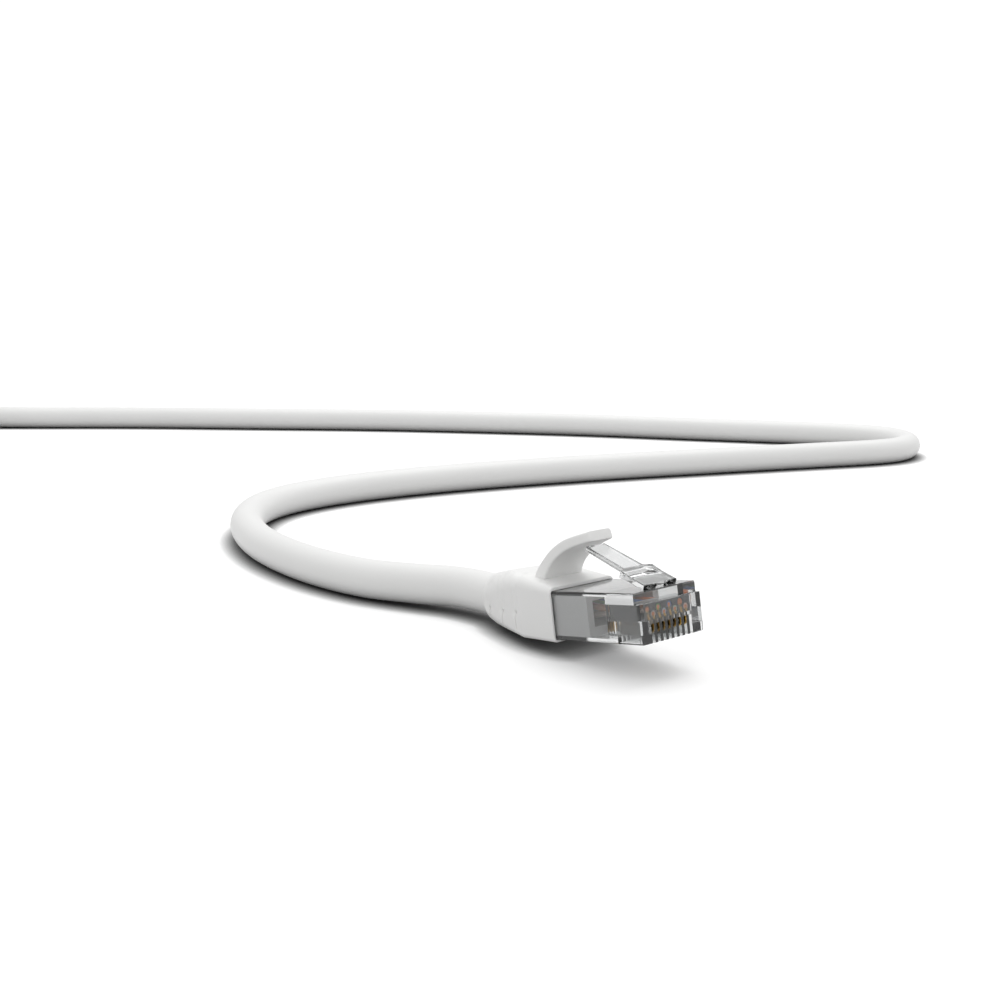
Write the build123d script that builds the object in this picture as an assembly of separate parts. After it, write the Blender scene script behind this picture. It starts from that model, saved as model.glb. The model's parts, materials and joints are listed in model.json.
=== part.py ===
from build123d import *
import math
import os

# Ethernet patch cable, in millimetres. The near plug lies nose-up on its boot, with its nose
# towards +X and its latch on top; the cable leaves the boot towards -X, lies on the floor in
# two bends and ends in a tied coil with the second plug beside it.
# A plug is modelled in its own frame: nose face at x = 0, body towards -x, underside at z = 0.

# ---- Plug body ----
PLUG_WIDTH = 11.68
PLUG_LENGTH = 21.46
BODY_HEIGHT = 6.75
NOSE_HEIGHT = 5.25        # height of the ledge at the very front
NOSE_STEP = 0.72          # how far the upper front stands behind the ledge
EDGE_ROUND = 0.3
SIDE_WALL = 0.54
FLOOR_WALL = 0.6
ROOF_WALL = 0.55
SIDE_RECESS = (4.3, 1.2, 0.3)   # length, height and depth of the recess low on each side

# ---- Contacts and wires ----
WAYS = 8
PITCH = 1.02
SLOT_WIDTH = 0.5
SLOT_LENGTH = 5.3
SLOT_FRONT_HEIGHT = 2.5
BLADE_THICKNESS = 0.35
BLADE_FRONT = -0.5
BLADE_LENGTH = 4.4
BLADE_LOW = 1.15
BLADE_HIGH = 2.4
BLADE_TEETH = 3
TOOTH_WIDTH = 0.8
TOOTH_BITE = 0.3          # how far a tooth goes into the copper core
FIT = 0.04                # clearance of small parts that are pushed home
LOW_ROW = 3.62            # heights of the two staggered rows of wires
HIGH_ROW = 4.38
WIRE_RADIUS = 0.46
CORE_RADIUS = 0.26
CHAMBER_HALF = 4.4        # load bar chamber
CHAMBER_FLOOR = 2.9
CHAMBER_ROOF = 5.12
CHAMBER_FRONT = -0.95
CHAMBER_BACK = -6.3
WIRE_FRONT = -1.15
WIRE_NAMES = ["white_orange", "orange", "white_green", "blue",
              "white_blue", "green", "white_brown", "brown"]

# ---- Inner mould, cable jacket and cross filler ----
MOULD_FRONT = -9.9
MOULD_CHANNEL = (4.2, 1.85, 5.4)    # half width, floor and roof of the wire channel
CABLE_DIAMETER = 6.3
JACKET_BORE = 2.52
JACKET_AXIS = 3.6
JACKET_GAP = 0.3          # from the housing's back to the end of the jacket
PAIR_SPACING = (0.72, 1.68)
PAIR_HEIGHT = 1.1
FAN_START = -8.5
FAN_END = -16.5
FAN_RADIUS = 5.0
FILLER_ARM = 0.4
FILLER_SPAN = 4.8
FILLER_FRONT = -18.0
WIRE_BACK = -24.4

# ---- Boot ----
BOOT_FRONT = -16.6
BOOT_TAPER = -23.4        # where the straight front part ends
BOOT_BACK = -34.5
BOOT_WALL = 0.35
BOOT_FRONT_TOP = 7.3      # the top rises from the front rim to where the taper starts
BOOT_TAPER_TOP = 8.5
BOOT_CROWN = 8.75         # the highest place of the narrowing part
BOOT_EDGE = 0.9           # rounding of the upper edges at the front rim
BOOT_LOWER_EDGE = 0.5
BOOT_SHOULDER_EDGE = 1.5
BOOT_MIDDLE_EDGES = (1.6, 2.6)
BOOT_BACK_EDGE = 3.4
BOOT_FULLNESS = 0.5       # how much wider than a straight taper the middle is
BOOT_BACK_WIDTH = 7.7
BOOT_BACK_HEIGHT = 8.0
BOOT_BACK_LOW = 0.5
GROOVES = (-26.2, -29.1, -31.9)
GROOVE_WIDTH = 0.45
GROOVE_DEPTH = 0.35
GROOVE_FROM = 1.6
PLUG_PITCH = 10.0         # nose-up angle of a plug that lies on its boot

# ---- Latch tab and latch guard ----
LATCH_PIVOT = (-1.7, 7.15)
LATCH_ANGLE = 23.5
LATCH_LENGTH = 12.4
LATCH_THICKNESS = 0.7
LATCH_WIDTH = 6.2
TAIL_WIDTH = 3.25
EAR_FROM = 3.4
EAR_TO = 4.6
EAR_RISE = 0.45
LATCH_KNUCKLE = 0.6
GUARD_KNUCKLE = 0.75
PIVOT_CLEARANCE = 0.06
GUARD_PIVOT = (-20.9, 8.35)
GUARD_WIDTH = 7.2
GUARD_OUTER = ((-21.65, 8.4), (-18.2, 12.0), (-13.1, 14.0))
GUARD_INNER = ((-20.15, 8.4), (-16.9, 11.0), (-12.9, 12.7))
GUARD_TRAVEL = 22.0
LATCH_TRAVEL = 16.0

# ---- Free cable: its route on the floor, its coil and its tie ----
ROUTE = [(-33.5, -3.8), (-44, -7.8), (-61, -9), (-80, -6), (-98, 2), (-110, 15), (-114, 33),
         (-112, 55), (-106, 79), (-98, 103), (-89, 126), (-79, 151), (-70, 172), (-70, 183),
         (-76, 192), (-86, 195), (-99, 190), (-115, 179), (-134, 166), (-156, 152), (-180, 133),
         (-206, 111), (-232, 84), (-258, 58), (-282, 29)]
FIRST_RUN = 7.4
ROUTE_HEIGHTS = [3.6, 3.2]     # the cable comes down to the floor over its first points
COIL_TANGENT = (-310.0, -4.0)
COIL_HEADING = 230.0
COIL_RADIUS = 31.5
TUBE_STOP = 15.0          # the main tube ends this far before the coil's tangent point
CLIMB_ANGLE = 80.0        # the turn starts to rise this far before it meets its own start
LEAVE_ANGLE = 90.0        # it lies on itself this far, then leaves
TAIL_POINTS = ((0.0, 0.0), (10.0, 0.0), (20.0, 0.35), (30.0, 0.85), (39.0, 1.0), (47.0, 1.0))
TIE_THICKNESS = 0.6
TIE_WIDTH = 8.0
TIE_PLACE = 30.0          # the tie's place past the coil's tangent point


def block(x0, x1, y0, y1, z0, z1):
    """A box between two corners."""
    middle = Pos((x0 + x1) / 2, (y0 + y1) / 2, (z0 + z1) / 2)
    return middle * Box(abs(x1 - x0), abs(y1 - y0), abs(z1 - z0))


def rod_across(x, z, radius, width):
    """A round bar along Y."""
    return Pos(x, 0, z) * Rot(90, 0, 0) * Cylinder(radius, width)


def side_extrusion(outline, width):
    """A closed outline in the XZ plane, carried to half the width on each side."""
    return extrude(Plane.XZ * make_face(outline), amount=width / 2, both=True)


def tube_along(path, radius, bore=0.0):
    """A round section carried along a path, hollow where a bore is given."""
    section = Circle(radius)
    if bore > 0:
        section = section - Circle(bore)
    return sweep(Plane(origin=path @ 0, z_dir=path % 0) * section, path=path)


def way_y(way):
    """Sideways place of a wire or contact, from way 0 on the +Y side."""
    return ((WAYS - 1) / 2 - way) * PITCH


def way_z(way):
    """Height of a wire: the two rows are staggered."""
    return LOW_ROW if way % 2 == 0 else HIGH_ROW


# ---- Pieces of one plug, in the plug's own frame ----

def blade(way, spare=0.0):
    """One contact: a flat blade with piercing teeth; spare widens it into its clearance."""
    back = BLADE_FRONT - BLADE_LENGTH
    tip = way_z(way) - CORE_RADIUS + TOOTH_BITE
    points = [(BLADE_FRONT + spare, BLADE_LOW - spare + 0.45),
              (BLADE_FRONT + spare - 0.45, BLADE_LOW - spare), (back - spare, BLADE_LOW - spare),
              (back - spare, BLADE_HIGH + spare)]
    gap = (BLADE_LENGTH - BLADE_TEETH * TOOTH_WIDTH) / BLADE_TEETH
    for tooth in range(BLADE_TEETH):
        start = back + gap / 2 + tooth * (TOOTH_WIDTH + gap)
        points += [(start - spare, BLADE_HIGH + spare),
                   (start + TOOTH_WIDTH / 2 - spare, tip + spare),
                   (start + TOOTH_WIDTH / 2 + spare, tip + spare),
                   (start + TOOTH_WIDTH + spare, BLADE_HIGH + spare)]
    points += [(BLADE_FRONT + spare, BLADE_HIGH + spare)]
    if spare == 0:
        points = [p for i, p in enumerate(points) if i == 0 or p != points[i - 1]]
    outline = Polyline(*points, close=True)
    return Pos(0, way_y(way), 0) * side_extrusion(outline, BLADE_THICKNESS + 2 * spare)


def plug_housing():
    """Clear shell: ledge at the nose, slots for the contacts, chambers for wires and mould."""
    half = PLUG_WIDTH / 2
    body = block(-PLUG_LENGTH, 0, -half, half, 0, BODY_HEIGHT)
    body = fillet(body.edges().filter_by(Axis.X), EDGE_ROUND)
    body -= block(-NOSE_STEP, 1, -half - 1, half + 1, NOSE_HEIGHT, BODY_HEIGHT + 1)
    inner = half - SIDE_WALL
    body -= block(-PLUG_LENGTH - 1, CHAMBER_BACK, -inner, inner, FLOOR_WALL,
                  BODY_HEIGHT - ROOF_WALL)
    body -= block(CHAMBER_BACK - 0.1, CHAMBER_FRONT, -CHAMBER_HALF, CHAMBER_HALF,
                  CHAMBER_FLOOR, CHAMBER_ROOF)
    for way in range(WAYS):
        y0, y1 = way_y(way) - SLOT_WIDTH / 2, way_y(way) + SLOT_WIDTH / 2
        body -= block(-SLOT_LENGTH, 1, y0, y1, -1, SLOT_FRONT_HEIGHT)
        body -= block(-SLOT_LENGTH, BLADE_FRONT, y0, y1, SLOT_FRONT_HEIGHT - 0.1,
                      CHAMBER_FLOOR + 0.1)
    length, height, depth = SIDE_RECESS
    for side in (-1, 1):
        body -= block(-length, -EDGE_ROUND, side * (half - depth), side * (half + 1), -1, height)
    x, z = LATCH_PIVOT
    body -= rod_across(x, z, LATCH_KNUCKLE + PIVOT_CLEARANCE, LATCH_WIDTH + 2 * PIVOT_CLEARANCE)
    return body


def load_bar():
    """Clear guide with a round hole for each wire and a slit for each blade."""
    bar = block(CHAMBER_BACK + 0.2, CHAMBER_FRONT - 0.1, -CHAMBER_HALF + FIT, CHAMBER_HALF - FIT,
                CHAMBER_FLOOR + FIT, CHAMBER_ROOF - FIT)
    for way in range(WAYS):
        hole = Pos((CHAMBER_BACK + CHAMBER_FRONT) / 2, way_y(way), way_z(way))
        bar -= hole * Rot(0, 90, 0) * Cylinder(WIRE_RADIUS + FIT, 8)
        bar -= blade(way, FIT)
    return bar


def wire_path(way):
    """A wire runs straight through the load bar, then closes in to its place in the jacket."""
    y, z = way_y(way), way_z(way)
    across = (PAIR_SPACING[1], PAIR_SPACING[0], -PAIR_SPACING[0], -PAIR_SPACING[1])[way // 2]
    height = JACKET_AXIS + (-PAIR_HEIGHT if way % 2 == 0 else PAIR_HEIGHT)
    return FilletPolyline((WIRE_FRONT, y, z), (FAN_START, y, z), (FAN_END, across, height),
                          (WIRE_BACK, across, height), radius=FAN_RADIUS)


def insulation(way):
    """One wire's coloured sleeve, pierced by the teeth of its contact."""
    return tube_along(wire_path(way), WIRE_RADIUS, CORE_RADIUS + FIT / 4) - blade(way, FIT)


def copper_core(way):
    """One wire's copper, cut where the teeth bite into it."""
    return tube_along(wire_path(way), CORE_RADIUS) - blade(way, FIT / 4)


def inner_mould():
    """Light grey block that fills the back of the housing around the wires."""
    half = PLUG_WIDTH / 2 - SIDE_WALL - FIT
    mould = block(-PLUG_LENGTH + FIT, MOULD_FRONT, -half, half, FLOOR_WALL + FIT,
                  BODY_HEIGHT - ROOF_WALL - FIT)
    channel_half, floor, roof = MOULD_CHANNEL
    return mould - block(-PLUG_LENGTH - 1, 0, -channel_half, channel_half, floor, roof)


def cross_filler():
    """Plastic cross that keeps the pairs apart."""
    arm, span = FILLER_ARM / 2, FILLER_SPAN / 2
    upright = block(WIRE_BACK, FILLER_FRONT, -arm, arm, JACKET_AXIS - span, JACKET_AXIS + span)
    level = block(WIRE_BACK, FILLER_FRONT, -span, span, JACKET_AXIS - arm, JACKET_AXIS + arm)
    return (upright + level) & block(WIRE_BACK, FILLER_FRONT, -span, span, MOULD_CHANNEL[1] + FIT,
                                     MOULD_CHANNEL[2] - FIT)


def jacket_path():
    """The jacket inside the boot: straight at first, then turned level with the floor."""
    start = -PLUG_LENGTH - JACKET_GAP
    corner = (start + BOOT_BACK) / 2
    rise = (corner - BOOT_BACK) * math.tan(math.radians(PLUG_PITCH))
    return FilletPolyline((start, 0, JACKET_AXIS), (corner, 0, JACKET_AXIS),
                          (BOOT_BACK, 0, JACKET_AXIS + rise), radius=6 * CABLE_DIAMETER)


def boot_section(width, low, high, low_round, high_round):
    """A rectangle with its lower and upper corners rounded, drawn with Y to its right."""
    section = Pos(0, (low + high) / 2) * Rectangle(width, high - low)
    section = fillet(section.vertices().sort_by(Axis.Y)[:2], low_round)
    return fillet(section.vertices().sort_by(Axis.Y)[-2:], high_round)


def boot():
    """White strain relief: straight over the housing, then narrowing to the cable."""
    width = PLUG_WIDTH + 2 * BOOT_WALL
    across = (0, 1, 0)
    tilt = math.radians(PLUG_PITCH)
    front = boot_section(width, -BOOT_WALL, BOOT_FRONT_TOP, BOOT_LOWER_EDGE, BOOT_EDGE)
    shoulder = boot_section(width, -BOOT_WALL, BOOT_TAPER_TOP, BOOT_LOWER_EDGE,
                            BOOT_SHOULDER_EDGE)
    middle_x = (BOOT_TAPER + BOOT_BACK) / 2
    middle = boot_section((width + BOOT_BACK_WIDTH) / 2 + BOOT_FULLNESS, 0.0, BOOT_CROWN,
                          *BOOT_MIDDLE_EDGES)
    end_low = BOOT_BACK_LOW - (path_end().Z - BOOT_BACK_HEIGHT / 2)
    end = boot_section(BOOT_BACK_WIDTH, -BOOT_BACK_HEIGHT / 2 + end_low / 2,
                       BOOT_BACK_HEIGHT / 2 + end_low / 2, BOOT_BACK_EDGE, BOOT_BACK_EDGE)
    shoulder_plane = Plane(origin=(BOOT_TAPER, 0, 0), x_dir=across, z_dir=(1, 0, 0))
    front_plane = Plane(origin=(BOOT_FRONT, 0, 0), x_dir=across, z_dir=(1, 0, 0))
    sleeve = loft([shoulder_plane * shoulder, front_plane * front], ruled=True)
    end_plane = Plane(origin=path_end(), x_dir=across,
                      z_dir=(math.cos(tilt), 0, -math.sin(tilt)))
    taper = loft([shoulder_plane * shoulder,
                  Plane(origin=(middle_x, 0, 0), x_dir=across, z_dir=(1, 0, 0)) * middle,
                  end_plane * end])
    body = sleeve + taper
    half = PLUG_WIDTH / 2 + FIT
    body -= block(-PLUG_LENGTH - JACKET_GAP, 1, -half, half, -FIT, BODY_HEIGHT + FIT)
    body -= tube_along(jacket_path(), CABLE_DIAMETER / 2 + FIT)
    for x in GROOVES:
        along = (BOOT_TAPER - x) / (BOOT_TAPER - BOOT_BACK)
        side = width / 2 + (BOOT_BACK_WIDTH - width) / 2 * along
        for face in (-1, 1):
            body -= block(x - GROOVE_WIDTH / 2, x + GROOVE_WIDTH / 2, face * (side - GROOVE_DEPTH),
                          face * (side + 3), GROOVE_FROM, BOOT_CROWN + 1)
    x, z = GUARD_PIVOT
    body -= rod_across(x, z, GUARD_KNUCKLE + PIVOT_CLEARANCE, GUARD_WIDTH + 2 * PIVOT_CLEARANCE)
    return body


def path_end():
    """Centre of the cable where it leaves the boot."""
    return jacket_path() @ 1


def latch_tab():
    """Clear spring tab: wide at its root, with two ears, then a narrow tail."""
    x, z = LATCH_PIVOT
    half, tail, thick = LATCH_WIDTH / 2, TAIL_WIDTH / 2, LATCH_THICKNESS / 2
    tab = block(-EAR_TO, 0, -half, half, -thick, thick)
    tab += block(-LATCH_LENGTH, -EAR_TO + 0.1, -tail, tail, -thick, thick)
    for side in (-1, 1):
        tab += block(-EAR_TO, -EAR_FROM, side * tail, side * half, -thick, thick + EAR_RISE)
    tab += rod_across(0, 0, LATCH_KNUCKLE, LATCH_WIDTH)
    return Pos(x, 0, z) * Rot(0, LATCH_ANGLE, 0) * tab


def latch_guard():
    """Curved finger plate over the tail of the latch, hinged where it joins the boot."""
    outer = ThreePointArc(*GUARD_OUTER)
    inner = ThreePointArc(*reversed(GUARD_INNER))
    outline = [outer, Line(GUARD_OUTER[-1], GUARD_INNER[-1]), inner,
               Line(GUARD_INNER[0], GUARD_OUTER[0])]
    plate = side_extrusion(outline, GUARD_WIDTH)
    x, z = GUARD_PIVOT
    return plate + rod_across(x, z, GUARD_KNUCKLE, GUARD_WIDTH)


def plug_pieces():
    """Every piece of one plug by name, in the plug's own frame."""
    pieces = {"plug_housing": plug_housing(), "load_bar": load_bar(),
              "contacts": Compound([blade(way) for way in range(WAYS)]),
              "copper_cores": Compound([copper_core(way) for way in range(WAYS)])}
    for way, name in enumerate(WIRE_NAMES):
        pieces["wire_" + name] = insulation(way)
    pieces["inner_mould"] = inner_mould()
    pieces["cross_filler"] = cross_filler()
    pieces["jacket_end"] = tube_along(jacket_path(), CABLE_DIAMETER / 2, JACKET_BORE)
    pieces["boot"] = boot()
    pieces["latch_tab"] = latch_tab()
    pieces["latch_guard"] = latch_guard()
    return pieces


# ---- The near plug on the floor: pitched, then moved over the origin ----
plug = plug_pieces()
pitched = {name: Rot(0, -PLUG_PITCH, 0) * piece for name, piece in plug.items()}
bounds = Compound(list(pitched.values())).bounding_box()
place = Pos(-(bounds.min.X + bounds.max.X) / 2, 0, -bounds.min.Z) * Rot(0, -PLUG_PITCH, 0)
near = {"near_" + name: place * piece for name, piece in plug.items()}
exit_point = (place * Pos(*path_end())).position

# ---- The free cable ----
radius = CABLE_DIAMETER / 2
heading = math.radians(COIL_HEADING)
forward = Vector(math.cos(heading), math.sin(heading), 0)
left = Vector(-math.sin(heading), math.cos(heading), 0)
tangent = Vector(COIL_TANGENT[0], COIL_TANGENT[1], 0)
coil_centre = tangent + left * COIL_RADIUS
coil_low = TIE_THICKNESS
coil_high = coil_low + 2 * CABLE_DIAMETER


def cord_path(points):
    """Straight runs joined by tangent arcs, each as large as its two runs allow."""
    radii = []
    for before, here, after in zip(points, points[1:], points[2:]):
        turn = (here - before).get_angle(after - here)
        run = min((here - before).length, (after - here).length)
        radii.append(0.45 * run / math.tan(math.radians(turn) / 2))
    print("arc radii", [round(r, 1) for r in radii])
    return FilletPolyline(*points, radius=radii if len(radii) > 1 else radii[0])


heights = ROUTE_HEIGHTS + [radius] * (len(ROUTE) - len(ROUTE_HEIGHTS))
main_points = [exit_point, exit_point - Vector(FIRST_RUN, 0, 0)]
main_points += [Vector(x, y, z) for (x, y), z in zip(ROUTE, heights)]
main_points.append(tangent - forward * TUBE_STOP + Vector(0, 0, coil_low + radius))
main_path = cord_path(main_points)
cord_jacket = tube_along(main_path, radius)


# The coil is one turn that ends lying on its own first part: a round section where there is one
# layer and an upright slot where there are two.
entry_angle = COIL_HEADING - 90
coil_place = Pos(coil_centre.X, coil_centre.Y, 0)
double_span = CLIMB_ANGLE + LEAVE_ANGLE
single_profile = Plane.XZ * Pos(COIL_RADIUS, coil_low + radius) * Circle(radius)
double_profile = Plane.XZ * (Pos(COIL_RADIUS, coil_low + CABLE_DIAMETER)
                             * SlotOverall(coil_high - coil_low, CABLE_DIAMETER, rotation=90))
single_part = (Rot(0, 0, entry_angle + LEAVE_ANGLE)
               * revolve(single_profile, Axis.Z, 360 - double_span))
double_part = Rot(0, 0, entry_angle - CLIMB_ANGLE) * revolve(double_profile, Axis.Z, double_span)
cord_coil = coil_place * (single_part + double_part)

tie_middle = Pos(COIL_RADIUS, coil_low + CABLE_DIAMETER)
tie_outer = SlotOverall(coil_high - coil_low + 2 * TIE_THICKNESS,
                        CABLE_DIAMETER + 2 * TIE_THICKNESS, rotation=90)
tie_inner = SlotOverall(coil_high - coil_low + FIT, CABLE_DIAMETER + FIT, rotation=90)
tie_profile = Plane.XZ * (tie_middle * (tie_outer - tie_inner))
tie_angle = math.degrees(TIE_WIDTH / COIL_RADIUS)
coil_tie = coil_place * Rot(0, 0, entry_angle + TIE_PLACE) * revolve(tie_profile, Axis.Z, tie_angle)

# The tail leaves the upper layer along its tangent and comes down to the second plug.
leave = math.radians(entry_angle + LEAVE_ANGLE)
outward = Vector(math.cos(leave), math.sin(leave), 0)
onward = Vector(-math.sin(leave), math.cos(leave), 0)
top = coil_high - radius
tail_points = [coil_centre + outward * COIL_RADIUS + onward * along
               + Vector(0, 0, top + (exit_point.Z - top) * drop) for along, drop in TAIL_POINTS]
tail_path = cord_path(tail_points)
cord_tail = tube_along(tail_path, radius)

far_exit = tail_points[-1]
far_place = (Pos(far_exit.X, far_exit.Y, 0) * Rot(0, 0, entry_angle + LEAVE_ANGLE + 90)
             * Pos(-exit_point.X, 0, 0))
far = {name.replace("near_", "far_"): far_place * piece for name, piece in near.items()}

# ---- Write every node ----
nodes = {**near, "cord_jacket": cord_jacket, "cord_coil": cord_coil, "coil_tie": coil_tie,
         "cord_tail": cord_tail, **far}
os.makedirs("parts", exist_ok=True)
for name, solid in nodes.items():
    export_step(solid, os.path.join("parts", name + ".step"))

section = math.pi * radius ** 2
print("exit", exit_point, "far exit", far_exit)
print("cord volume over section times length",
      round(cord_jacket.volume / (section * main_path.length), 5),
      round(cord_tail.volume / (section * tail_path.length), 5))
coil_length = math.radians(360 + LEAVE_ANGLE) * COIL_RADIUS
print("cord lengths", round(main_path.length, 1), round(coil_length, 1), round(tail_path.length, 1),
      "total", round(main_path.length + TUBE_STOP + coil_length + tail_path.length, 1))
print("far heading", entry_angle + LEAVE_ANGLE + 90)
for label, pivot in (("latch", LATCH_PIVOT), ("guard", GUARD_PIVOT)):
    near_pivot = (place * Pos(pivot[0], 0, pivot[1])).position
    far_pivot = (far_place * Pos(*near_pivot)).position
    print(label, "pivots", near_pivot, far_pivot)
print("travel in degrees: guard", GUARD_TRAVEL, "latch", -LATCH_TRAVEL)
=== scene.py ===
# %% [markdown]
# # An ethernet patch cable in Blender
# A patch cable is a length of round jacketed cable with a clear eight-way plug at each end.
# The construction model comes in as a fixed frame of real-size parts, and everything below
# dresses that frame: it never moves or resizes it. Lengths are metres.
# %% Load the frame
import bpy
import json
import math
import numpy as np
from mathutils import Matrix, Vector


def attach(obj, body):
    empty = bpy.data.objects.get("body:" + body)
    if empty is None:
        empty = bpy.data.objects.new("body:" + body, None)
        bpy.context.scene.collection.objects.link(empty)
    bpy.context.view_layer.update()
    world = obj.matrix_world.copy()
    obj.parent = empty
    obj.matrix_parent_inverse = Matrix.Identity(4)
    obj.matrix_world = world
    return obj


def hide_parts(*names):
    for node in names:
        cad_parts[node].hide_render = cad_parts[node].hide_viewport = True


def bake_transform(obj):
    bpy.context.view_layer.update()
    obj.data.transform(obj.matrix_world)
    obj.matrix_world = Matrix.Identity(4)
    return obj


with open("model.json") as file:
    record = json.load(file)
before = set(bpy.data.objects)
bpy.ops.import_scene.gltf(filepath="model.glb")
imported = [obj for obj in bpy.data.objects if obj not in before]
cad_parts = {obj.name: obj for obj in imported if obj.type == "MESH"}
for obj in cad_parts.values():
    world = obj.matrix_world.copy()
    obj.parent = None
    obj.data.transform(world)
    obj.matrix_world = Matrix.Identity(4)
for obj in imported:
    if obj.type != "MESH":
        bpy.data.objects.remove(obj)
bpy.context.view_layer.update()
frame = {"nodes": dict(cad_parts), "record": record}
scene = bpy.context.scene
MM = 0.001

# %% [markdown]
# ## The camera
# The cable is seen from low down and close by, so the plug in front is large and the far bend
# of the cable is small. A 50 mm lens about 18 cm from the plug gives that; a wider lens moved
# closer would make the plug look larger still. A camera looks along its own -Z axis, so it is
# turned up from that by a right angle less its pitch, and then round by its heading.
# %% Camera
CAMERA_PLACE = (137.05 * MM, -130.0 * MM, 56.6 * MM)
CAMERA_HEADING = math.radians(50.0)
CAMERA_PITCH = math.radians(10.6)

camera_data = bpy.data.cameras.new("camera")
camera_data.lens = 50.0
camera_data.sensor_width = 36.0
camera_data.clip_start = 0.01
camera = bpy.data.objects.new("camera", camera_data)
camera.location = CAMERA_PLACE
camera.rotation_euler = (math.radians(90) - CAMERA_PITCH, 0.0, CAMERA_HEADING)
scene.collection.objects.link(camera)
scene.camera = camera
print("camera", tuple(round(c, 4) for c in camera.location))

# %% [markdown]
# ## The free cable
# A soft round cable takes one smooth line, so it could be a mesh swept along a path or a curve
# with a round bevel; the curve is shorter and stays exactly round. It is a NURBS spline of order
# three with a few points chosen along the way it lies, which passes close by its points and never
# kinks. The first point is where the cable leaves the boot, and the second lies straight behind
# it. The numbers in this cell are millimetres, except the diameter and the radius.
# %% Cable route
CABLE_DIAMETER = 6.3 * MM
CABLE_RADIUS = CABLE_DIAMETER / 2
EXIT = np.array([-17.398, 0.0, 4.112])
FIRST_RUN = 7.4
ROUTE = [(-33.5, -3.8), (-44, -7.8), (-61, -9), (-80, -6), (-98, 2), (-110, 15), (-114, 33),
         (-112, 55), (-106, 79), (-98, 103), (-89, 126), (-79, 151), (-70, 172), (-70, 183),
         (-76, 192), (-86, 195), (-99, 190), (-115, 179), (-134, 166), (-156, 152), (-180, 133),
         (-206, 111), (-232, 84), (-258, 58), (-282, 29)]
ROUTE_HEIGHTS = [3.6, 3.2]
LIE = 3.15

heights = ROUTE_HEIGHTS + [LIE] * (len(ROUTE) - len(ROUTE_HEIGHTS))
points = [EXIT, EXIT - [FIRST_RUN, 0, 0]]
points += [np.array([x, y, z]) for (x, y), z in zip(ROUTE, heights)]
print(len(points), "points along the free cable")

# %% [markdown]
# ## The put-away length
# What is left of the cable lies in one and a quarter turns, whose last quarter rests on top of the
# first, and the second plug lies beside them. The turn's points are worked out: they stand a
# twelfth of a turn apart on a circle that is wider than the turn by one over the cosine of half
# that step, which is where the tangents of a circle cross. Near the end of the first turn the
# cable climbs by one diameter over two steps, so that the rest lies on its start. The tail then
# comes down to the height of the plug's own cable entry.
# %% Coil and tail
COIL_TANGENT = np.array([-310.0, -4.0])
COIL_HEADING = math.radians(230.0)
COIL_RADIUS = 31.5
COIL_LIFT = 0.6
COIL_STEP = math.radians(30.0)
COIL_STEPS = 15
LEAD_IN = 15.0
CLIMB_START, CLIMB_STEPS = 9, 2
# how far along the tail, and what share of the way down from the upper layer to the entry
TAIL_POINTS = [(10.0, 0.0), (20.0, 0.35), (30.0, 0.85), (39.0, 1.0), (47.0, 1.0)]


def direction(angle):
    """The unit vector on the floor at that angle from +X."""
    return np.array([math.cos(angle), math.sin(angle)])


coil_centre = COIL_TANGENT + COIL_RADIUS * direction(COIL_HEADING + math.pi / 2)
lower = COIL_LIFT + LIE
upper = lower + CABLE_DIAMETER / MM
points.append(np.append(COIL_TANGENT - LEAD_IN * direction(COIL_HEADING), lower))
entry = COIL_HEADING - math.pi / 2
for k in range(COIL_STEPS):
    outward = direction(entry + (k + 0.5) * COIL_STEP)
    spot = coil_centre + COIL_RADIUS / math.cos(COIL_STEP / 2) * outward
    climb = min(max((k - CLIMB_START) / CLIMB_STEPS, 0.0), 1.0)
    points.append(np.append(spot, lower + (upper - lower) * climb))
leave = entry + COIL_STEPS * COIL_STEP
leave_spot = coil_centre + COIL_RADIUS * direction(leave)
for along, drop in TAIL_POINTS:
    spot = leave_spot + along * direction(leave + math.pi / 2)
    points.append(np.append(spot, upper + (EXIT[2] - upper) * drop))
print(len(points), "control points")

# %% [markdown]
# ## The cable as a curve
# Each point carries the jacket's radius, which scales a bevel of one, so the tube is as thick as
# the real jacket. The spline is held to its two end points, and its ends are filled, so the tube
# is closed. It stands for the three tubes that the construction model makes of the same cable.
# %% Cable curve
cable_data = bpy.data.curves.new("cable", "CURVE")
cable_data.dimensions = "3D"
spline = cable_data.splines.new("NURBS")
spline.points.add(len(points) - 1)
for control, point in zip(spline.points, points):
    control.co = (*(point * MM), 1.0)
    control.radius = CABLE_RADIUS
spline.order_u = 3
spline.use_endpoint_u = True
spline.resolution_u = 14
cable_data.bevel_depth = 1.0
cable_data.bevel_resolution = 14
cable_data.use_fill_caps = True
cable = bpy.data.objects.new("cable", cable_data)
scene.collection.objects.link(cable)
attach(cable, "root")
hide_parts("cord_jacket", "cord_coil", "cord_tail")
print("cable of", round(CABLE_DIAMETER / MM, 2), "mm along", len(spline.points), "points")


# %% [markdown]
# ## Materials
# Each finish is a small node tree. One helper adds a node, sets it and links it, and one turns
# an sRGB hex value, as a colour is usually written, into the linear numbers a shader wants.
# %% Material helpers
def linear(code, alpha=1.0):
    """An sRGB hex colour as linear light: each channel c is (c + 0.055) / 1.055 to the 2.4."""
    channels = [int(code[i:i + 2], 16) / 255 for i in (1, 3, 5)]
    return tuple(c / 12.92 if c <= 0.04045 else ((c + 0.055) / 1.055) ** 2.4
                 for c in channels) + (alpha,)


def add_node(tree, kind, sockets=None, **settings):
    """Adds one node; a socket's value is a number, a colour or another node's output."""
    added = tree.nodes.new(kind)
    for name, value in settings.items():
        setattr(added, name, value)
    for name, value in (sockets or {}).items():
        if isinstance(value, bpy.types.NodeSocket):
            tree.links.new(value, added.inputs[name])
        else:
            added.inputs[name].default_value = value
    return added


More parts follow.
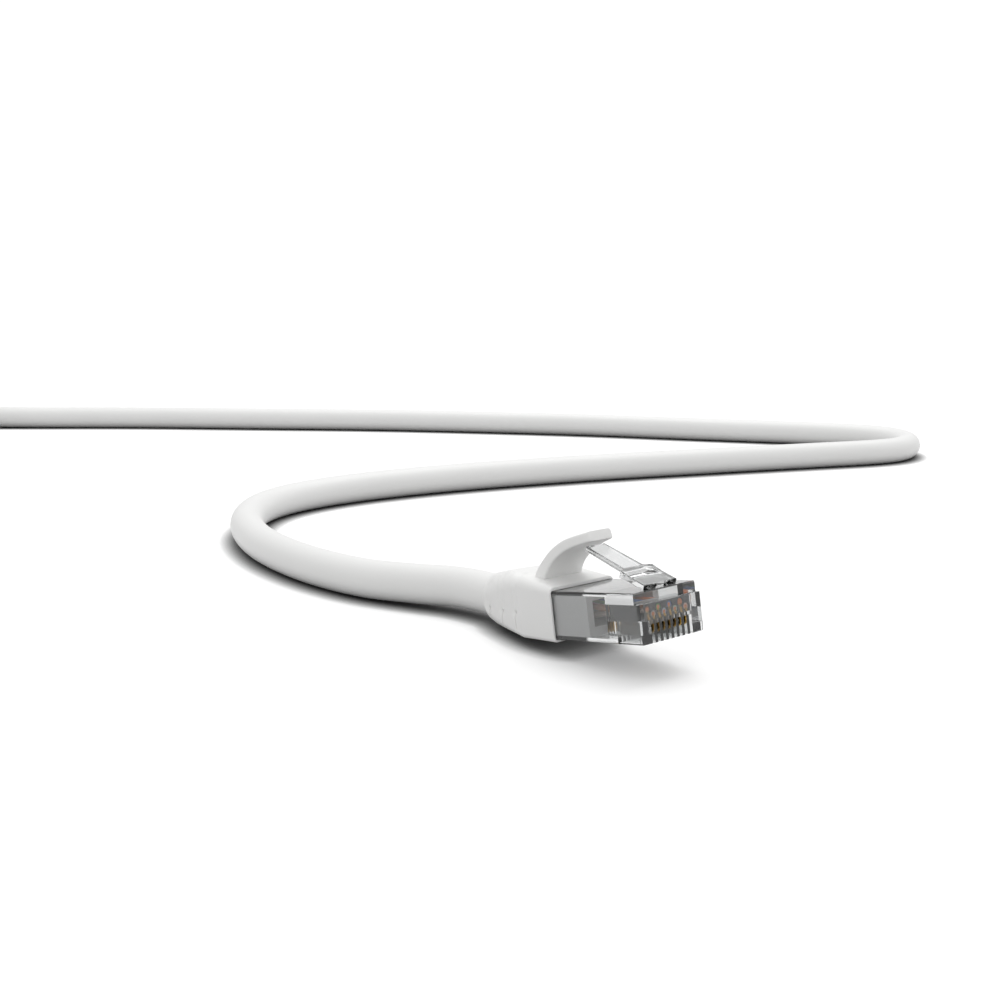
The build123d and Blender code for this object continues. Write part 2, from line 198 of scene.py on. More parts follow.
def new_material(name):
    """A material with an empty tree and its output, as (material, tree, output)."""
    material = bpy.data.materials.new(name)
    material.use_nodes = True
    tree = material.node_tree
    tree.nodes.clear()
    return material, tree, add_node(tree, "ShaderNodeOutputMaterial")


def per_metre(size_mm):
    """The texture scale at which one feature is that many millimetres."""
    return 1.0 / (size_mm * MM)


print("middle grey, #808080, is", round(linear("#808080")[0], 3), "in linear light")


# %% [markdown]
# ## Moulded and extruded plastic
# Most of the cable is opaque plastic. Its colour is never quite even, so two near shades are mixed
# in soft patches, and its surface repeats the fine grain of the mould or the die, as bump. Light
# goes a little way into the white PVC, which a small subsurface weight gives.
# %% Plastic
PATCH_MM = 14.0
SOFT_DEPTH_MM = 0.6


def moulded_plastic(name, colour, shade, roughness, grain_mm, depth_mm, soft=0.0):
    """Moulded or extruded plastic: two near shades in soft patches and a fine grain as bump."""
    material, tree, output = new_material(name)
    place = add_node(tree, "ShaderNodeTexCoord").outputs["Object"]
    patches = add_node(tree, "ShaderNodeTexNoise", {"Vector": place, "Detail": 3.0,
                                                    "Scale": per_metre(PATCH_MM)})
    tint = add_node(tree, "ShaderNodeMix", {0: patches.outputs[0], 6: linear(colour),
                                            7: linear(shade)}, data_type="RGBA")
    grain = add_node(tree, "ShaderNodeTexNoise", {"Vector": place, "Scale": per_metre(grain_mm),
                                                  "Detail": 2.0})
    bump = add_node(tree, "ShaderNodeBump", {"Height": grain.outputs[0], "Strength": 0.35,
                                             "Distance": depth_mm * MM})
    shader = add_node(tree, "ShaderNodeBsdfPrincipled",
                      {"Base Color": tint.outputs[2], "Roughness": roughness, "IOR": 1.53,
                       "Normal": bump.outputs["Normal"]})
    shader.inputs["Subsurface Weight"].default_value = soft
    shader.inputs["Subsurface Radius"].default_value = (1.0, 1.0, 1.0)
    shader.inputs["Subsurface Scale"].default_value = SOFT_DEPTH_MM * MM
    tree.links.new(shader.outputs["BSDF"], output.inputs["Surface"])
    return material


# %% [markdown]
# ## White PVC, nylon, polyethylene and the strap
# PVC for a patch cable is soft and satin: a highlight with a wide edge. The jacket is extruded
# through a die, and the boot is moulded in a fine-blasted mould, so the boot's grain is finer and
# deeper. The block in the plug is matt nylon, so pale that it looks grey only behind the shell.
# The cross between the pairs is plain polyethylene, and the strap's loops are drawn as a deep,
# dull grain, because single loops would be too fine to show.
# %% Plastics
jacket_pvc = moulded_plastic("extruded white PVC", "#F1F1F0", "#EDEDEC", 0.42, 0.5, 0.004, 0.1)
boot_pvc = moulded_plastic("moulded white PVC", "#F3F3F2", "#EFEFEE", 0.5, 0.25, 0.008, 0.1)
grey_nylon = moulded_plastic("moulded grey nylon", "#F2F2F2", "#ECECEC", 0.5, 0.3, 0.006)
filler_pe = moulded_plastic("extruded natural polyethylene", "#E6E6E2", "#DEDEDA", 0.4, 0.4, 0.004)
strap_weave = moulded_plastic("black hook-and-loop strap", "#1B1B1D", "#252527", 0.85, 0.35, 0.12)
print("opaque finishes:", [finish.name for finish in (jacket_pvc, boot_pvc, grey_nylon, filler_pe,
                                                      strap_weave)])


# %% [markdown]
# ## Clear polycarbonate
# The plug's shell is clear moulded polycarbonate. It bends light strongly, which is what draws
# its edges dark, and its mould faces are polished. A faint grey keeps it from glowing. The bar
# that holds the wires apart is tinted near black and a little rougher: painted shade, so the
# space in the nose is dark.
# %% Polycarbonate
def clear_plastic(name, colour, roughness, ripple_mm):
    """Clear moulded plastic: full transmission, a faint tint and slow mould ripples."""
    material, tree, output = new_material(name)
    place = add_node(tree, "ShaderNodeTexCoord").outputs["Object"]
    ripples = add_node(tree, "ShaderNodeTexNoise", {"Vector": place, "Scale": per_metre(ripple_mm),
                                                    "Detail": 2.0})
    bump = add_node(tree, "ShaderNodeBump", {"Height": ripples.outputs[0], "Strength": 0.25,
                                             "Distance": 0.02 * MM})
    shader = add_node(tree, "ShaderNodeBsdfPrincipled",
                      {"Base Color": linear(colour), "Roughness": roughness, "IOR": 1.585,
                       "Transmission Weight": 1.0, "Normal": bump.outputs["Normal"]})
    tree.links.new(shader.outputs["BSDF"], output.inputs["Surface"])
    return material


polycarbonate = clear_plastic("clear polycarbonate", "#DFE0E0", 0.05, 3.0)
# painted shade: the bar's near-black tint stands for the shade in the nose
load_bar_painted_shade = clear_plastic("dark polycarbonate bar for painted shade", "#26282A", 0.2, 1.5)
print("clear finishes:", polycarbonate.name, "and", load_bar_painted_shade.name)


# %% [markdown]
# ## Copper
# The cores are copper wire drawn through a die: bright, with fine marks along the wire. The marks
# are noise, stretched to ten times its length along the near plug's wires.
# %% Copper
ALONG_WIRE = (0.1, 1.0, 1.0)


def drawn_metal(name, colour, dark, roughness, mark_mm):
    """Bright metal with fine marks: stretched noise mixes its colour with a darker one."""
    material, tree, output = new_material(name)
    place = add_node(tree, "ShaderNodeTexCoord").outputs["Object"]
    stretched = add_node(tree, "ShaderNodeMapping", {"Vector": place, "Scale": ALONG_WIRE})
    marks = add_node(tree, "ShaderNodeTexNoise", {"Vector": stretched.outputs["Vector"],
                                                  "Scale": per_metre(mark_mm), "Detail": 3.0})
    tint = add_node(tree, "ShaderNodeMix", {0: marks.outputs[0], 6: linear(colour),
                                            7: linear(dark)}, data_type="RGBA")
    shader = add_node(tree, "ShaderNodeBsdfPrincipled",
                      {"Base Color": tint.outputs[2], "Metallic": 1.0, "Roughness": roughness})
    tree.links.new(shader.outputs["BSDF"], output.inputs["Surface"])
    return material


copper = drawn_metal("drawn copper", "#DB8F66", "#C47A52", 0.3, 0.1)
print("metal:", copper.name)


# %% [markdown]
# ## Plated contacts
# A contact is a blade stamped from strip. It is plated with gold on its narrow edges, where it is
# touched, and its broad sides keep the grey nickel underneath. How far the surface faces the
# plug's own left or right picks the metal, so each end has its own material.
# %% Contact plating
GOLD, WORN_GOLD, NICKEL = "#E0B353", "#A57F34", "#5E5D5A"
PLATING_MARK_MM = 0.12
GOLD_UP_TO, NICKEL_FROM = 0.6, 0.85


def edge_plated(name, sideways):
    """Gold where the normal is square to the sideways vector, nickel where it is along it."""
    material, tree, output = new_material(name)
    normal = add_node(tree, "ShaderNodeNewGeometry").outputs["Normal"]
    facing = add_node(tree, "ShaderNodeVectorMath", {0: normal, 1: sideways},
                      operation="DOT_PRODUCT")
    flat = add_node(tree, "ShaderNodeMath", {0: facing.outputs["Value"]}, operation="ABSOLUTE")
    share = add_node(tree, "ShaderNodeMapRange", {"Value": flat.outputs[0],
                                                  "From Min": GOLD_UP_TO,
                                                  "From Max": NICKEL_FROM})
    place = add_node(tree, "ShaderNodeTexCoord").outputs["Object"]
    marks = add_node(tree, "ShaderNodeTexNoise", {"Vector": place, "Detail": 3.0,
                                                  "Scale": per_metre(PLATING_MARK_MM)})
    gold = add_node(tree, "ShaderNodeMix", {0: marks.outputs[0], 6: linear(GOLD),
                                            7: linear(WORN_GOLD)}, data_type="RGBA")
    metal = add_node(tree, "ShaderNodeMix", {0: share.outputs[0], 6: gold.outputs[2],
                                             7: linear(NICKEL)}, data_type="RGBA")
    shader = add_node(tree, "ShaderNodeBsdfPrincipled",
                      {"Base Color": metal.outputs[2], "Metallic": 1.0, "Roughness": 0.25})
    tree.links.new(shader.outputs["BSDF"], output.inputs["Surface"])
    return material


print("gold up to", GOLD_UP_TO, "and nickel from", NICKEL_FROM, "of facing sideways")

# %% [markdown]
# ## Wire colours
# The insulation is a thin wall of coloured polyethylene. The white wire of each pair also carries
# its partner's colour, as a stripe on the real one and here in soft patches: only a few
# millimetres of each wire show, through the shell.
# %% Wire insulation
WIRE_COLOURS = {"orange": "#E8792A", "green": "#5E9E3C", "blue": "#3D6DB5", "brown": "#8A5A3A"}
BARE_WHITE = "#F0EEE8"
wire_materials = {}
for colour_name, code in WIRE_COLOURS.items():
    wire_materials["wire_" + colour_name] = moulded_plastic(
        colour_name + " polyethylene insulation", code, code, 0.35, 0.2, 0.003)
    wire_materials["wire_white_" + colour_name] = moulded_plastic(
        "white and " + colour_name + " polyethylene insulation", BARE_WHITE, code, 0.35, 0.2, 0.003)
print(len(wire_materials), "wire colours")

# %% [markdown]
# ## One plug's own axes
# Both plugs are the same moulding, so each new piece is worked out once in the plug's own axes,
# in millimetres: x forward from the nose's face, y to the left, z up from the underside. The
# frame's mount at each nose gives where those axes lie, and the points are carried there.
# %% Plug axes
MOUNT_HEIGHT = 2.6


def plug_matrix(end):
    """The matrix from plug millimetres to the frame's metres, from that end's plug mount."""
    mount = next(m for m in frame["record"]["mounts"] if m["name"] == end + "_plug")
    ahead = Vector(mount["axis"]).normalized()
    left = Vector((0, 0, 1)).cross(ahead).normalized()
    up = ahead.cross(left)
    matrix = Matrix((ahead, left, up)).transposed().to_4x4()
    matrix.translation = Vector(mount["pos_m"]) - up * MOUNT_HEIGHT * MM
    return matrix @ Matrix.Diagonal((MM, MM, MM, 1.0))


ENDS = {end: plug_matrix(end) for end in ("near", "far")}
for end, matrix in ENDS.items():
    print(end, "nose at", [round(c / MM, 2) for c in matrix.translation])


# %% [markdown]
# ## Surfaces from rings
# Every new piece is a stack of closed outlines, or rings, with as many points in each. Joining
# each ring to the next with four-sided faces gives a tube, and its ends are closed with a fan.
# All the faces come from one grid of point numbers, so no loop visits the points one by one.
# %% Surface helpers
def place_points(end, points):
    """Carries an array of plug millimetres, any shape ending in 3, into the frame."""
    matrix = np.array(ENDS[end])
    return points @ matrix[:3, :3].T + matrix[:3, 3]


def ring_mesh(name, rings, capped=True, sharp_degrees=40.0):
    """A tube of quads through rings of equal count, an array (rings, points, 3).

    Quad (i, j) joins points j and j+1 of ring i to those of ring i+1. Each end is capped by a
    fan about the middle of its ring, or, uncapped, the last ring is joined to the first.
    """
    count, around, _ = rings.shape
    index = np.arange(count * around).reshape(count, around)
    first, second = (index[:-1], index[1:]) if capped else (index, np.roll(index, -1, axis=0))
    quads = np.stack([first, np.roll(first, -1, axis=1), np.roll(second, -1, axis=1), second],
                     axis=-1).reshape(-1, 4)
    verts = rings.reshape(-1, 3)
    faces = quads.tolist()
    if capped:
        verts = np.vstack([verts, rings[0].mean(axis=0), rings[-1].mean(axis=0)])
        for ring, centre, order in ((index[0], len(verts) - 2, -1), (index[-1], len(verts) - 1, 1)):
            fan = np.stack([ring, np.roll(ring, -1), np.full(around, centre)], axis=-1)
            faces += fan[:, ::order].tolist()
    mesh = bpy.data.meshes.new(name)
    mesh.from_pydata(verts.tolist(), [], faces)
    mesh.validate()
    mesh.polygons.foreach_set("use_smooth", np.ones(len(mesh.polygons), bool))
    mesh.set_sharp_from_angle(angle=math.radians(sharp_degrees))
    piece = bpy.data.objects.new(name, mesh)
    scene.collection.objects.link(piece)
    return piece


def dress(piece, material):
    """Gives a piece its material."""
    piece.data.materials.clear()
    piece.data.materials.append(material)
    return piece


# %% [markdown]
# ## The outline they share
# A moulding's cross-section is mostly a rectangle whose corners are rounded, often more above
# than below. It is written once, with as many points for any size, so that rings of different
# sizes still join.
# %% Rounded outline
def rounded_rectangle(width, low, high, low_round, high_round, per_corner=12, per_side=10):
    """Points (n, 2) of a rectangle with rounded corners, anticlockwise from the lower right.

    A corner is a quarter circle about a centre set in by its radius; a side is a straight row.
    """
    half = width / 2
    corners = [(half, low, low_round, -90), (half, high, high_round, 0),
               (-half, high, high_round, 90), (-half, low, low_round, 180)]
    parts = []
    for x, z, radius, start in corners:
        angle = np.radians(np.linspace(start, start + 90, per_corner))
        centre = np.array([x - math.copysign(radius, x), z + (radius if z == low else -radius)])
        parts.append(centre + radius * np.stack([np.cos(angle), np.sin(angle)], axis=-1))
    outline = []
    for part, following in zip(parts, parts[1:] + parts[:1]):
        share = np.linspace(0, 1, per_side + 2)[1:-1, None]
        outline += [part, part[-1] * (1 - share) + following[0] * share]
    return np.vstack(outline)


print("an outline has", len(rounded_rectangle(2.0, 0.0, 1.0, 0.2, 0.2)), "points")


# %% [markdown]
# ## The boot's slits
# The boot is one soft moulding: a sleeve with flat sides over the back of the plug, which then
# narrows to the round cable. Three slits on each side let it bend. They could be cut with a
# boolean, but a formula for how far each point is pressed in keeps the surface closed and even.
# %% Slits
SLITS = (-24.9, -28.8, -32.8)
SLIT_TOPS = (3.35, 3.35, 3.55)
SLIT_FOOT = 1.0
TOP_FADE, FOOT_FADE = 0.15, 0.12
FLAT_SIDE = 2.6
VALLEY_DEPTH, VALLEY_HALF = 0.3, 0.75
CUT_DEPTH, CUT_HALF = 0.4, 0.12
DIMPLE_DEPTH, DIMPLE_HALF, DIMPLE_TALL = 0.6, 0.27, 0.3


def slit_depth(x, y, z):
    """How far the surface is pressed in: a soft valley over each slit, a narrow cut below it
    and a dimple where they meet. The cut and the dimple are bell curves of the distance from
    the slit's line; the valley falls with its fourth power, so its bottom is nearly flat."""
    depth = np.zeros_like(x)
    side = np.clip(np.abs(y) - FLAT_SIDE, 0, 1)
    for at, top in zip(SLITS, SLIT_TOPS):
        above = 1 / (1 + np.exp(-(z - top) / TOP_FADE))
        foot = 1 / (1 + np.exp(-(z - SLIT_FOOT) / FOOT_FADE))
        depth += VALLEY_DEPTH * above * side * np.exp(-((x - at) / VALLEY_HALF) ** 4)
        depth += CUT_DEPTH * (1 - above) * foot * side * np.exp(-((x - at) / CUT_HALF) ** 2)
        depth += DIMPLE_DEPTH * side * np.exp(-((x - at) / DIMPLE_HALF) ** 2
                                              - ((z - top) / DIMPLE_TALL) ** 2)
    return depth


print("slits at", SLITS, "mm along the plug, whose nose is at 0")

# %% [markdown]
# ## The boot
# A loft of rounded rectangles along the plug follows the boot, from the cable's end to the front
# rim. Between the rows below, every size changes evenly. At the rims the rings turn in, and at the
# front they go back along the housing, so the sleeve has a real thickness.
# %% Boot surface
BOOT_FRONT, BOOT_TAPER, BOOT_BACK = -16.6, -23.3, -34.45
BOOT_RINGS, BOOT_SIDE_POINTS = 280, 34
HOUSING_WIDTH, HOUSING_HEIGHT, FIT = 11.68, 6.75, 0.04
SLEEVE_DEPTH = 5.0
# each rim's rings: how far in from the outside, and how far forward
BACK_RIM = ((0.9, 0.0), (0.6, -0.05), (0.25, -0.05), (0.08, -0.02))
FRONT_RIM = ((0.03, 0.06), (0.1, 0.1))
MOUTH_ROUND, MOUTH_AHEAD = 0.3, 0.08
# each row: place along the plug, width, underside, top, lower rounding, upper rounding
STATIONS = np.array([(BOOT_BACK, 7.6, 2.0, 8.45, 2.6, 3.6),
                     (-33.7, 8.0, 1.3, 8.55, 2.6, 3.5),
                     (-32.0, 8.75, 0.95, 8.8, 2.2, 3.3),
                     (-28.5, 10.2, 0.6, 9.1, 1.4, 2.6),
                     (BOOT_TAPER, 12.38, 0.05, 8.75, 0.6, 1.6),
                     (BOOT_FRONT, 12.38, -0.33, 7.28, 0.5, 0.95)])


def turned_in(ring, by, ahead):
    """The ring with each point moved towards its middle by that length, and forward."""
    middle = ring.mean(axis=0)
    out = ring - middle
    length = np.linalg.norm(out, axis=-1, keepdims=True)
    moved = middle + out * (1 - by / length)
    return moved + [ahead, 0, 0]


def boot_rings():
    """The outside from the cable end to the front rim, then in and back along the sleeve."""
    xs = np.linspace(BOOT_BACK, BOOT_FRONT, BOOT_RINGS)
    width, low, high, low_round, high_round = (
        np.interp(xs, STATIONS[:, 0], values) for values in STATIONS.T[1:])
    rings = []
    for i, x in enumerate(xs):
        outline = rounded_rectangle(width[i], low[i], high[i], low_round[i], high_round[i],
                                    per_side=BOOT_SIDE_POINTS)
        rings.append(np.column_stack([np.full(len(outline), x), outline]))
    rings = np.array(rings)
    inward = rings - rings.mean(axis=1, keepdims=True)
    inward[..., 0] = 0
    inward /= np.linalg.norm(inward, axis=-1, keepdims=True)
    rings -= inward * slit_depth(rings[..., 0], rings[..., 1], rings[..., 2])[..., None]
    back_rims = [turned_in(rings[0], by, ahead) for by, ahead in BACK_RIM]
    front_rims = [turned_in(rings[-1], by, ahead) for by, ahead in FRONT_RIM]
    mouth = rounded_rectangle(HOUSING_WIDTH + 2 * FIT, -FIT, HOUSING_HEIGHT + FIT, MOUTH_ROUND,
                              MOUTH_ROUND, per_side=BOOT_SIDE_POINTS)
    for x in (BOOT_FRONT + MOUTH_AHEAD, BOOT_FRONT - SLEEVE_DEPTH):
        front_rims.append(np.column_stack([np.full(len(mouth), x), mouth]))
    return np.vstack([np.array(back_rims), rings, np.array(front_rims)])


boot_points = boot_rings()
print("boot rings", boot_points.shape)
for end in ENDS:
    boot = ring_mesh(end + "_boot_moulding", place_points(end, boot_points), sharp_degrees=50.0)
    dress(boot, boot_pvc)
    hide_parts(end + "_boot")
    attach(boot, "root")

# %% [markdown]
# ## The latch guard
# The guard is a curved finger plate that grows out of the boot and shields the latch. It is a
# flat strip carried along a bent line, thick and flared where it leaves the boot, with a rounded
# tongue at its tip. The line is a cubic through a few points, and each ring stands square to it.
# %% Strip along a line
TONGUE_START = 0.62
CORNER_POINTS = 8
LARGEST_CORNER = 0.45


def smooth_line(t, knots, values):
    """A cubic through every knot whose slope there is that of its neighbours' chord."""
    slopes = np.gradient(values, knots)
    i = np.clip(np.searchsorted(knots, t, side="right") - 1, 0, len(knots) - 2)
    gap = knots[i + 1] - knots[i]
    s = (t - knots[i]) / gap
    return ((2 * s ** 3 - 3 * s ** 2 + 1) * values[i] + (s ** 3 - 2 * s ** 2 + s) * gap * slopes[i]
            + (3 * s ** 2 - 2 * s ** 3) * values[i + 1] + (s ** 3 - s ** 2) * gap * slopes[i + 1])


def carried_strip(line, widths, thickness, roundness, count=48, tongue=0.0):
    """Rings of a rounded strip: at each place along the line, a rounded rectangle that stands
    square to the line's own direction, as wide and thick as the values there. A tongue's
    sides come in by that many millimetres at its tip, each along a quarter of an ellipse."""
    line = np.asarray(line, float)
    lengths = np.concatenate([[0], np.cumsum(np.linalg.norm(np.diff(line, axis=0), axis=1))])
    share = lengths / lengths[-1]
    t = np.linspace(0, 1, count)
    if tongue:
        t = np.concatenate([t * TONGUE_START, TONGUE_START + (1 - TONGUE_START)
                            * np.sin(np.linspace(0, math.pi / 2, count // 2))[1:]])
    x = smooth_line(t, share, line[:, 0])
    z = smooth_line(t, share, line[:, 1])
    along = np.stack([np.gradient(x, t), np.gradient(z, t)], axis=-1)
    along /= np.linalg.norm(along, axis=1, keepdims=True)
    past = np.clip((t - TONGUE_START) / (1 - TONGUE_START), 0, 1)
    width = np.interp(t, *widths) - 2 * tongue * (1 - np.sqrt(1 - past ** 2))
    thick = np.interp(t, *thickness)
    corner = np.minimum(roundness, thick * LARGEST_CORNER)
    rings = []
    for i in range(len(t)):
        outline = rounded_rectangle(width[i], -thick[i] / 2, thick[i] / 2,
                                    corner[i], corner[i], per_corner=CORNER_POINTS)
        normal = np.array([-along[i, 1], along[i, 0]])
        rings.append(np.column_stack([x[i] + outline[:, 1] * normal[0], outline[:, 0],
                                      z[i] + outline[:, 1] * normal[1]]))
    return np.array(rings)


print("a tongue starts at", TONGUE_START, "of a strip's length")

# %% [markdown]
# ## The guard at each plug
# The real guard flexes at its root. Here the same strip is carried, unbent, to each plug.
# %% Guard surface
GUARD_LINE = [(-21.7, 7.0), (-20.95, 8.7), (-19.1, 10.75), (-16.2, 12.5), (-11.8, 13.8)]
# shares of the length, and the millimetres there
GUARD_WIDTHS = ([0, 0.12, 0.3, 1], [7.6, 7.4, 7.2, 7.2])
GUARD_THICKNESS = ([0, 0.12, 0.3, 1], [2.6, 2.0, 1.6, 1.4])
guard_points = carried_strip(GUARD_LINE, GUARD_WIDTHS, GUARD_THICKNESS, roundness=0.3, tongue=1.7)
for end, matrix in ENDS.items():
    guard = ring_mesh(end + "_guard_plate", place_points(end, guard_points))
    dress(guard, boot_pvc)
    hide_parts(end + "_latch_guard")
    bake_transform(guard)
print("guard rings", guard_points.shape)

# %% [markdown]
# ## The latch tab
# The tab is clear like the shell: a broad root with a shoulder at each side, then a narrow tail
# that tucks under the guard. It is the same kind of strip along a straight line. The real tab
# flexes at its root, and here it stays fixed.
# %% Latch tab surface
LATCH_ROOT = np.array([-1.7, 7.15])
LATCH_SLOPE = math.radians(23.5)
LATCH_PLACES = (-0.3, 2.0, 4.5, 8.0, 12.3)
LATCH_WIDTHS = ([0, 0.36, 0.41, 1], [6.2, 6.2, 3.9, 3.7])
LATCH_THICKNESS = ([0, 0.2, 0.36, 0.4, 1], [0.9, 0.8, 1.1, 0.8, 0.7])
latch_line = [tuple(LATCH_ROOT + d * np.array([-math.cos(LATCH_SLOPE), math.sin(LATCH_SLOPE)]))
              for d in LATCH_PLACES]
latch_points = carried_strip(latch_line, LATCH_WIDTHS, LATCH_THICKNESS, roundness=0.2, count=60)
for end, matrix in ENDS.items():
    latch = ring_mesh(end + "_latch_spring", place_points(end, latch_points))
    dress(latch, polycarbonate)
    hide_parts(end + "_latch_tab")
    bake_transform(latch)
print("latch rings", latch_points.shape)

# %% [markdown]
# ## The strap round the coil
# The spare turn is held by a hook-and-loop strap, wrapped once round both layers. Its rings run
# along the turn on the inside and come back on the outside, and the last joins the first, so it
# is a closed band with a real thickness.
# %% Coil strap
TIE_GAP, TIE_THICKNESS, TIE_WIDTH = 0.04, 0.5, 8.0
TIE_PLACE = np.radians(30.0)
TIE_SECTIONS = 12


def strap_rings():
    """A slot-shaped loop round the two layers, swept a little way along the turn."""
    middle_height = COIL_LIFT + CABLE_DIAMETER / MM
    inner = rounded_rectangle(CABLE_DIAMETER / MM + 2 * TIE_GAP, -CABLE_DIAMETER / MM - TIE_GAP,
                              CABLE_DIAMETER / MM + TIE_GAP, LIE, LIE)
    outer = inner * (1 + TIE_THICKNESS / np.linalg.norm(inner, axis=1, keepdims=True))
    angles = entry + TIE_PLACE + np.linspace(0, TIE_WIDTH / COIL_RADIUS, TIE_SECTIONS)
    sections = []
    for outline in (inner, outer):
        radial = COIL_RADIUS + outline[:, 0]
        sections.append(np.stack([np.column_stack([coil_centre[0] + radial * math.cos(a),
                                                   coil_centre[1] + radial * math.sin(a),
                                                   middle_height + outline[:, 1]])
                                  for a in angles]))
    return np.concatenate([sections[0], sections[1][::-1]]) * MM


strap = ring_mesh("coil_strap", strap_rings(), capped=False)
dress(strap, strap_weave)
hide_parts("coil_tie")
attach(strap, "root")
print("strap of", len(strap.data.polygons), "faces")

# %% [markdown]
# ## Finishes on the frame's own pieces
# The shell, the contacts, the bar, the wires and their cores, the block and the cross inside and
# the jacket's end keep their exact shape from the construction model, and take a real finish
# here, except the bar, whose near-black tint is painted shade. The cable takes the same jacket
# as its end in the boot.
# %% Carried-over pieces
FINISHES = {"plug_housing": polycarbonate, "load_bar": load_bar_painted_shade,
            "copper_cores": copper, "inner_mould": grey_nylon, "cross_filler": filler_pe,
            "jacket_end": jacket_pvc, **wire_materials}
for end, matrix in ENDS.items():
    sideways = tuple(matrix.col[1].to_3d().normalized())
    finishes = {**FINISHES, "contacts": edge_plated(end + " gold over nickel", sideways)}
    for node_name, material in finishes.items():
        node = frame["nodes"][end + "_" + node_name]
        node.data.materials.clear()
        node.data.materials.append(material)
cable.data.materials.append(jacket_pvc)
print(len(finishes), "of the frame's own pieces dressed at each end")

# %% [markdown]
# ## The floor
# The cable lies on a white sweep, so the floor is one large white sheet. It is staged: it only
# shows the cable off and is no part of it.
# %% Floor sheet
REACH = 6.0
floor_mesh = bpy.data.meshes.new("floor")
floor_mesh.from_pydata([(-REACH, -REACH, 0), (REACH, -REACH, 0), (REACH, REACH, 0),
                        (-REACH, REACH, 0)], [], [(0, 1, 2, 3)])
floor = bpy.data.objects.new("floor", floor_mesh)
scene.collection.objects.link(floor)
print("floor of", 2 * REACH, "m across")

# %% [markdown]
# ## The floor's white, and the shadow that ties the cable down
# Under so soft a light a cable's shadow is thin and lies close to it. Ambient occlusion tells how
# open the floor is within a few millimetres, and a power makes that steeper. What the eye sees,
# straight, in a reflection or through the clear plug, is nearly white; what lights the cable from
# below is a greyer floor, so the cable darkens towards it.
# %% Floor material
CONTACT_REACH = 3.2 * MM
CONTACT_POWER = 1.5
LIFT = 0.14
SWEEP_START, SWEEP_END, SWEEP_WHITE = 0.42, 0.75, 1.05
PURE_WHITE = (1, 1, 1, 1)

floor_material, tree, output = new_material("white studio floor")
rays = add_node(tree, "ShaderNodeLightPath")
seen = add_node(tree, "ShaderNodeMath", {0: rays.outputs["Is Camera Ray"],
                                         1: rays.outputs["Is Glossy Ray"]}, operation="MAXIMUM")
shown = add_node(tree, "ShaderNodeMath", {0: seen.outputs[0],
                                          1: rays.outputs["Is Transmission Ray"]},
                 operation="MAXIMUM")
openness = add_node(tree, "ShaderNodeAmbientOcclusion", {"Distance": CONTACT_REACH}, samples=8)
contact = add_node(tree, "ShaderNodeMath", {0: openness.outputs["AO"], 1: CONTACT_POWER},
                   operation="POWER")
bounce_colour = add_node(tree, "ShaderNodeMix", {0: contact.outputs[0], 6: linear("#303030"),
                                                 7: linear("#C4C4C4")}, data_type="RGBA")
shown_colour = add_node(tree, "ShaderNodeMix", {0: contact.outputs[0], 6: linear("#0A0A0A"),
                                                7: linear("#FAFAFA")}, data_type="RGBA")
lift_strength = add_node(tree, "ShaderNodeMath", {0: contact.outputs[0], 1: LIFT},
                         operation="MULTIPLY")
bounce = add_node(tree, "ShaderNodeBsdfDiffuse", {"Color": bounce_colour.outputs[2]})
white = add_node(tree, "ShaderNodeBsdfDiffuse", {"Color": shown_colour.outputs[2]})
lift = add_node(tree, "ShaderNodeEmission", {"Color": PURE_WHITE,
                                             "Strength": lift_strength.outputs[0]})
lifted = add_node(tree, "ShaderNodeAddShader", {0: white.outputs[0], 1: lift.outputs[0]})
print("contact shadow within", round(CONTACT_REACH / MM, 1), "mm")

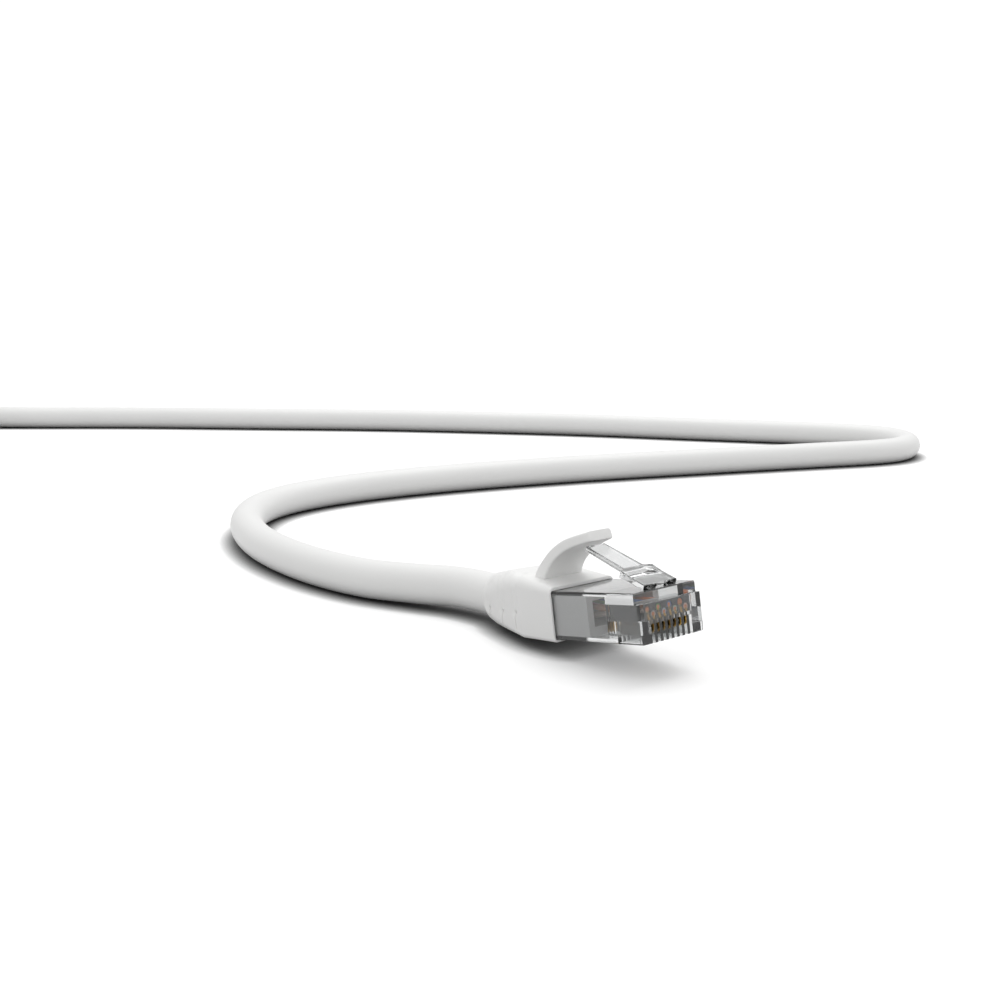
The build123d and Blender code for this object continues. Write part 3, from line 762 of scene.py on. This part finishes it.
# %% [markdown]
# ## The sweep
# A studio sweep curves up behind the object, so no edge shows. Here the floor turns into plain
# white light with its distance from the near plug, which gives the same look without a curved
# wall.
# %% Sweep
place = add_node(tree, "ShaderNodeTexCoord").outputs["Object"]
distance = add_node(tree, "ShaderNodeVectorMath", {0: place}, operation="LENGTH")
far_share = add_node(tree, "ShaderNodeMapRange", {"Value": distance.outputs["Value"],
                                                  "From Min": SWEEP_START,
                                                  "From Max": SWEEP_END})
plain = add_node(tree, "ShaderNodeEmission", {"Color": PURE_WHITE, "Strength": SWEEP_WHITE})
swept = add_node(tree, "ShaderNodeMixShader", {0: far_share.outputs[0], 1: lifted.outputs[0],
                                               2: plain.outputs[0]})
mixed = add_node(tree, "ShaderNodeMixShader", {0: shown.outputs[0], 1: bounce.outputs[0],
                                               2: swept.outputs[0]})
tree.links.new(mixed.outputs[0], output.inputs["Surface"])
floor_mesh.materials.append(floor_material)
print("plain white from", SWEEP_END, "m out")

# %% [markdown]
# ## The light
# The light is soft and plain: an even white world all round, a little brighter where the camera
# sees it, and one large lamp above and behind the cable, which makes its top the brightest.
# %% Light
WORLD_STRENGTH, SEEN_EXTRA = 0.8, 0.25
world = bpy.data.worlds.new("studio")
scene.world = world
world.use_nodes = True
tree = world.node_tree
tree.nodes.clear()
world_output = add_node(tree, "ShaderNodeOutputWorld")
rays = add_node(tree, "ShaderNodeLightPath")
strength = add_node(tree, "ShaderNodeMath", {0: rays.outputs["Is Camera Ray"], 1: SEEN_EXTRA,
                                             2: WORLD_STRENGTH}, operation="MULTIPLY_ADD")
background = add_node(tree, "ShaderNodeBackground", {"Color": PURE_WHITE,
                                                     "Strength": strength.outputs[0]})
tree.links.new(background.outputs[0], world_output.inputs["Surface"])


def soft_lamp(name, place, target, size, watts):
    """A square area lamp that points from its place at a target."""
    data = bpy.data.lights.new(name, "AREA")
    data.size = size
    data.energy = watts
    lamp = bpy.data.objects.new(name, data)
    lamp.location = place
    lamp.rotation_euler = (Vector(target) - Vector(place)).to_track_quat("-Z", "Y").to_euler()
    scene.collection.objects.link(lamp)
    return lamp


overhead = soft_lamp("overhead", place=(-0.3, 0.4, 0.95), target=(-0.05, 0.05, 0.0), size=0.9,
                     watts=4.0)
print("lamp", overhead.name, "of", overhead.data.energy, "W")
scene.view_settings.view_transform = "Standard"

far_pieces = ["far_boot_moulding", "far_guard_plate", "far_latch_spring", "coil_strap"]
far_pieces += ["far_" + node_name for node_name in (*FINISHES, "contacts")]
print("far end carries", len(far_pieces), "pieces")
